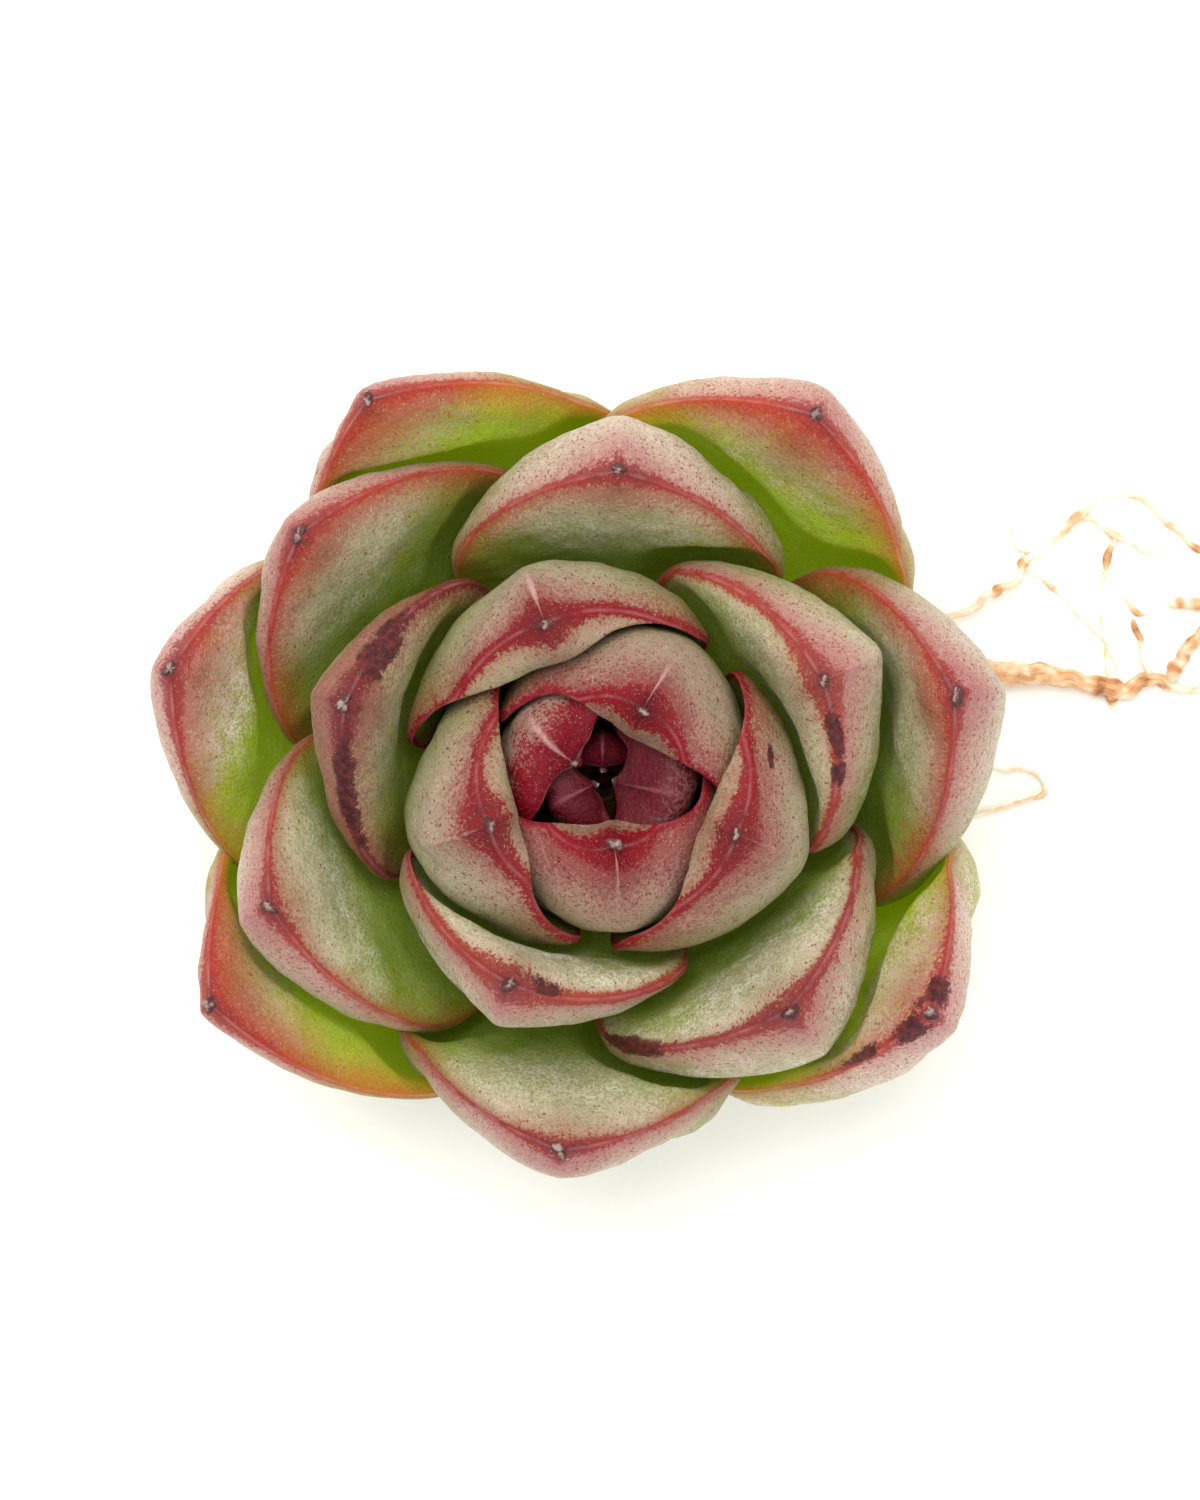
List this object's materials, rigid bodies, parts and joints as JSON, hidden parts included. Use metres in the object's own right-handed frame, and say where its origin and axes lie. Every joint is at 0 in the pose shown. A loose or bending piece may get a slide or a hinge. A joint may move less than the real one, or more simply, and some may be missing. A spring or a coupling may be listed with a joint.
{
  "type": "bare-root succulent rosette",
  "caption": "Succulent rosette of thick, keeled, pointed leaves with red margins, spiralling round a short stem, with bare roots trailing to one side; no pot.",
  "frame": {"origin": "centre of the bounding box on the surface the plant rests on", "axes": "+Z along the rosette's axis, up out of its centre; +X the way the roots trail; the rosette's axis stands at -X of the origin because the roots take up the +X end of the box"},
  "size_m": [0.1002, 0.0672, 0.0392],
  "materials": {
    "leaf_inner": "satin",
    "leaf_middle": "satin",
    "leaf_outer": "satin",
    "bud": "satin",
    "root": "matte"
  },
  "bodies": {
    "root": {"leaf_01": "leaf_inner", "leaf_02": "leaf_inner", "leaf_03": "leaf_inner", "leaf_04": "leaf_inner", "leaf_05": "leaf_inner", "leaf_06": "leaf_inner", "leaf_07": "leaf_middle", "leaf_08": "leaf_middle", "leaf_09": "leaf_middle", "leaf_10": "leaf_outer", "leaf_11": "leaf_outer", "leaf_12": "leaf_outer", "leaf_13": "leaf_outer", "leaf_14": "leaf_outer", "leaf_15": "leaf_outer", "leaf_16": "leaf_outer", "leaf_17": "leaf_outer", "leaf_18": "leaf_outer", "leaf_19": "leaf_outer", "leaf_20": "leaf_outer", "leaf_21": "leaf_outer", "leaf_22": "leaf_outer", "leaf_23": "leaf_outer", "bud": "bud", "stem_with_roots": "root"}
  },
  "joints": []
}
